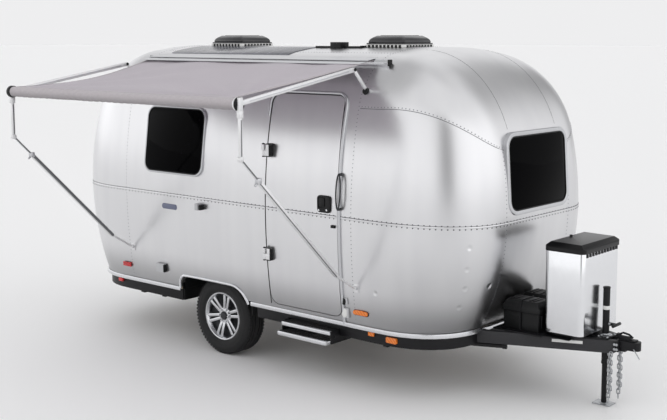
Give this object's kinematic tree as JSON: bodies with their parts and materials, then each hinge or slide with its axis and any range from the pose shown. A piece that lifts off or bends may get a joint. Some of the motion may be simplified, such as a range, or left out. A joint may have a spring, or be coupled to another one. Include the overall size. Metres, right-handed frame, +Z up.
{
  "type": "travel caravan",
  "caption": "Rounded aluminium travel caravan on a single axle, with side awning, hinged entry door, gas box with lid, A-frame hitch and jack.",
  "frame": {"origin": "centre of the jack foot's underside, on the ground", "axes": "+X forward along the centreline to the hitch, +Y to the street side, +Z up"},
  "size_m": [5.7305, 3.4966, 2.8682],
  "materials": {
    "deck": "sealed plywood",
    "chassis_black": "satin black paint",
    "shell": "clear-coated satin sheet",
    "bright_trim": "bright anodised",
    "polished_box": "polished",
    "glass_dark": "dark tinted, opaque",
    "vent_white": "matt",
    "vent_smoke": "smoked gloss",
    "solar_cell": "satin laminate",
    "black_plastic": "moulded grain",
    "awning_fabric": "woven, lilac grey",
    "arm_silver": "satin anodised",
    "bottle_paint": "off-white paint",
    "red_lens": "moulded lens",
    "amber_lens": "moulded lens",
    "fitting_grey": "satin",
    "zinc": "zinc plated",
    "plate_white": "blank plate",
    "alloy": "machined cast alloy",
    "tyre": "moulded tread"
  },
  "bodies": {
    "caravan": {"floor_deck": "deck", "chassis_rails": "chassis_black", "crossmembers": "chassis_black", "skirt": "chassis_black", "tongue_rails": "chassis_black", "tongue_plate": "chassis_black", "coupler": "chassis_black", "jack_tube": "chassis_black", "jack_foot": "zinc", "axle": "chassis_black", "wheel_wells": "black_plastic", "side_lower_curb": "shell", "side_upper_curb": "shell", "side_lower_street": "shell", "side_upper_street": "shell", "roof": "shell", "front_lower": "shell", "front_upper": "shell", "rear_lower": "shell", "rear_upper": "shell", "rub_rail": "bright_trim", "arch_trim": "bright_trim", "window_frames": "bright_trim", "window_glass": "glass_dark", "door_hinges": "fitting_grey", "vent_bases": "vent_white", "vent_lids": "vent_smoke", "solar_panel": "solar_cell", "solar_lead": "black_plastic", "awning_rail": "bright_trim", "awning_cloth": "awning_fabric", "awning_roller": "awning_fabric", "awning_rafters": "arm_silver", "awning_legs": "arm_silver", "gas_tray": "chassis_black", "gas_box": "polished_box", "gas_bottles": "bottle_paint", "battery_boxes": "black_plastic", "entry_step": "bright_trim", "red_lamps": "red_lens", "amber_lamps": "amber_lens", "grab_handle": "fitting_grey", "side_fittings": "fitting_grey", "chains": "zinc", "stabilisers": "chassis_black", "rear_bumper": "chassis_black", "number_plate": "plate_white"},
    "wheel_curb_body": {"wheel_curb": "alloy", "tyre_curb": "tyre"},
    "wheel_street_body": {"wheel_street": "alloy", "tyre_street": "tyre"},
    "door": {"door_panel": "shell", "door_fittings": "fitting_grey"},
    "gas_box_lid": {"gas_lid": "black_plastic"}
  },
  "joints": [
    {"name": "wheel_curb_spin", "type": "hinge", "parent": "caravan", "child": "wheel_curb_body", "pos_m": [-3.305, -0.87, 0.351], "axis": [0, 1, 0], "continuous": true},
    {"name": "wheel_street_spin", "type": "hinge", "parent": "caravan", "child": "wheel_street_body", "pos_m": [-3.305, 0.87, 0.351], "axis": [0, 1, 0], "continuous": true},
    {"name": "door_swing", "type": "hinge", "parent": "caravan", "child": "door", "pos_m": [-2.617, -1.118, 1.48], "axis": [0, 0, -1], "range_deg": [0, 170]},
    {"name": "gas_lid_tilt", "type": "hinge", "parent": "caravan", "child": "gas_box_lid", "pos_m": [-0.401, 0, 1.2223], "axis": [0, -1, 0], "range_deg": [0, 100]}
  ]
}
